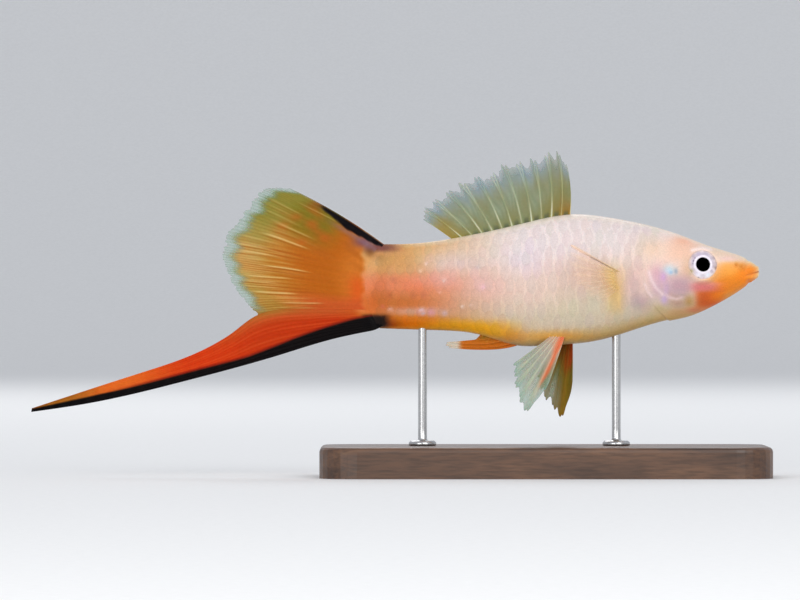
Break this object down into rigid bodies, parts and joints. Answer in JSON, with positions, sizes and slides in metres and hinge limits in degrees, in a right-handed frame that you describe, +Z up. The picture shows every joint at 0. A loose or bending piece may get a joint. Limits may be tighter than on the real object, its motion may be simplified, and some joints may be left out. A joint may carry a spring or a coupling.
{
  "type": "swordtail",
  "caption": "Life-size display model of a male swordtail swimming level, with a long pointed lower tail lobe, held by thin rods on a flat base.",
  "frame": {"origin": "middle of the underside of the stand's base", "axes": "+X towards the head, +Y towards the fish's left side, +Z up"},
  "size_m": [0.1182, 0.036, 0.0525],
  "materials": {
    "body_skin": "pearly pink-white scaled skin, orange at the snout",
    "tail_skin": "salmon to orange scaled skin",
    "eye": "silvery iris round a black pupil, under a clear wet surface",
    "clear_fin": "translucent olive membrane with pale rays",
    "orange_fin": "translucent orange membrane with pale ray tips",
    "red_fin": "orange-red with a black lower edge",
    "pale_fin": "translucent pale membrane tinted with orange at the root",
    "stand_wood": "satin dark wood",
    "stand_steel": "satin steel"
  },
  "bodies": {
    "root": {"head": "body_skin", "trunk": "body_skin", "tail": "tail_skin", "eye_right": "eye", "eye_left": "eye", "dorsal_fin": "clear_fin", "caudal_fin": "orange_fin", "sword": "red_fin", "anal_fin": "pale_fin", "pelvic_fin_right": "pale_fin", "pelvic_fin_left": "pale_fin", "pectoral_fin_right": "pale_fin", "pectoral_fin_left": "pale_fin", "stand_base": "stand_wood", "stand_rod_front": "stand_steel", "stand_rod_rear": "stand_steel"}
  },
  "joints": []
}
